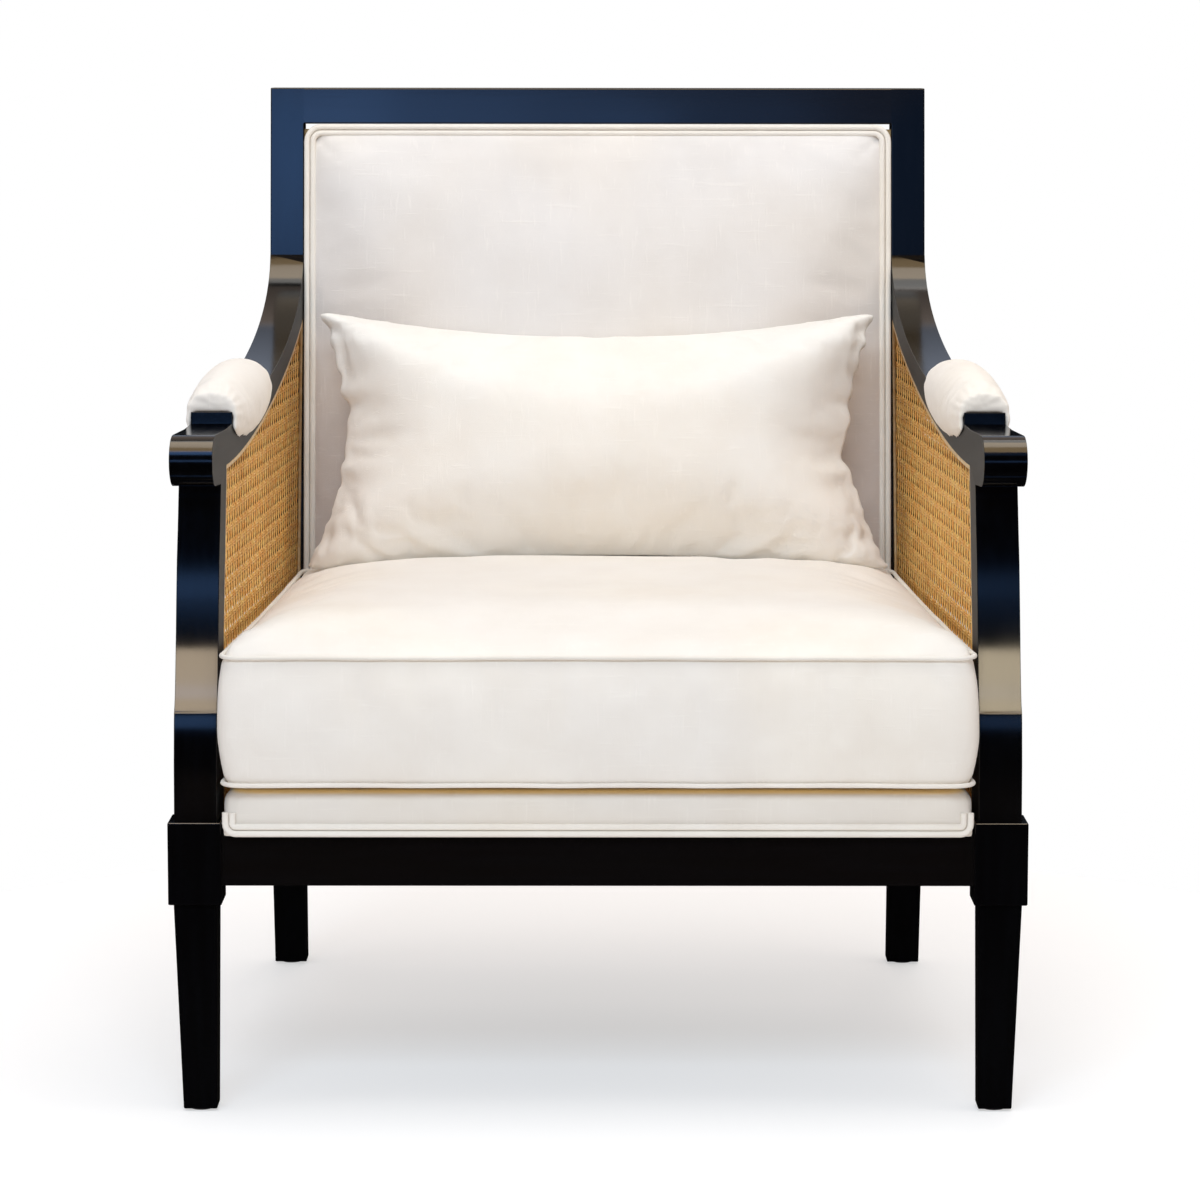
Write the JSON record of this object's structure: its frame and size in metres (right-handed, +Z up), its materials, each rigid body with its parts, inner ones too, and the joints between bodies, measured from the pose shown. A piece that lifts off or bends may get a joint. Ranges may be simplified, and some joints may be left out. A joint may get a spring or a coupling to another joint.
{
  "type": "cane armchair",
  "caption": "Black lacquered wooden armchair with scrolled arms, woven cane sides, padded back and arms, a loose box seat cushion and a lumbar pillow.",
  "frame": {"origin": "middle of the floor rectangle under the chair", "axes": "+X to the right as seen from the front, +Y from front to back, +Z up"},
  "size_m": [0.76, 0.7385, 0.901],
  "materials": {
    "lacquer": "gloss black lacquer",
    "beech": "raw hardwood",
    "cane": "woven natural cane",
    "cane_spline": "reed spline",
    "linen": "plain warm white linen",
    "zip_tape": "woven tape with a nylon coil",
    "jute": "jute webbing and hessian",
    "dust_cloth": "black cambric",
    "steel": "bright steel",
    "nylon": "moulded nylon"
  },
  "bodies": {
    "frame": {"left_front_leg": "lacquer", "right_front_leg": "lacquer", "left_back_post": "lacquer", "right_back_post": "lacquer", "front_seat_rail": "lacquer", "rear_seat_rail": "lacquer", "left_seat_rail": "lacquer", "right_seat_rail": "lacquer", "left_arm_post": "lacquer", "right_arm_post": "lacquer", "left_arm": "lacquer", "right_arm": "lacquer", "top_rail": "lacquer", "lower_back_rail": "lacquer", "tacking_strips": "beech", "left_cane_panel": "cane", "right_cane_panel": "cane", "left_cane_spline": "cane_spline", "right_cane_spline": "cane_spline", "left_outer_cane": "cane", "right_outer_cane": "cane", "left_outer_spline": "cane_spline", "right_outer_spline": "cane_spline", "corner_braces": "beech", "brace_screws": "steel", "frame_dowels": "beech", "leg_glides": "nylon", "seat_springs": "steel", "spring_clips": "steel", "spring_cover": "jute", "seat_deck": "linen", "deck_welt": "linen", "dust_cover": "dust_cloth", "back_webbing": "jute", "back_pad": "linen", "back_welt": "linen", "outside_back": "linen", "outside_back_welt": "linen", "left_arm_pad": "linen", "right_arm_pad": "linen"},
    "cushion": {"seat_cushion": "linen", "cushion_zip": "zip_tape"},
    "slider": {"zip_slider": "steel"},
    "pillow": {"lumbar_pillow": "linen"}
  },
  "joints": [
    {"name": "cushion_out", "type": "slide", "parent": "frame", "child": "cushion", "axis": [0, -0.9613, 0.2756], "range_m": [0, 0.45]},
    {"name": "pillow_lift", "type": "slide", "parent": "cushion", "child": "pillow", "axis": [0, 0, 1], "range_m": [0, 0.25]},
    {"name": "zip_run", "type": "slide", "parent": "cushion", "child": "slider", "axis": [-1, 0, 0], "range_m": [0, 0.488]}
  ]
}
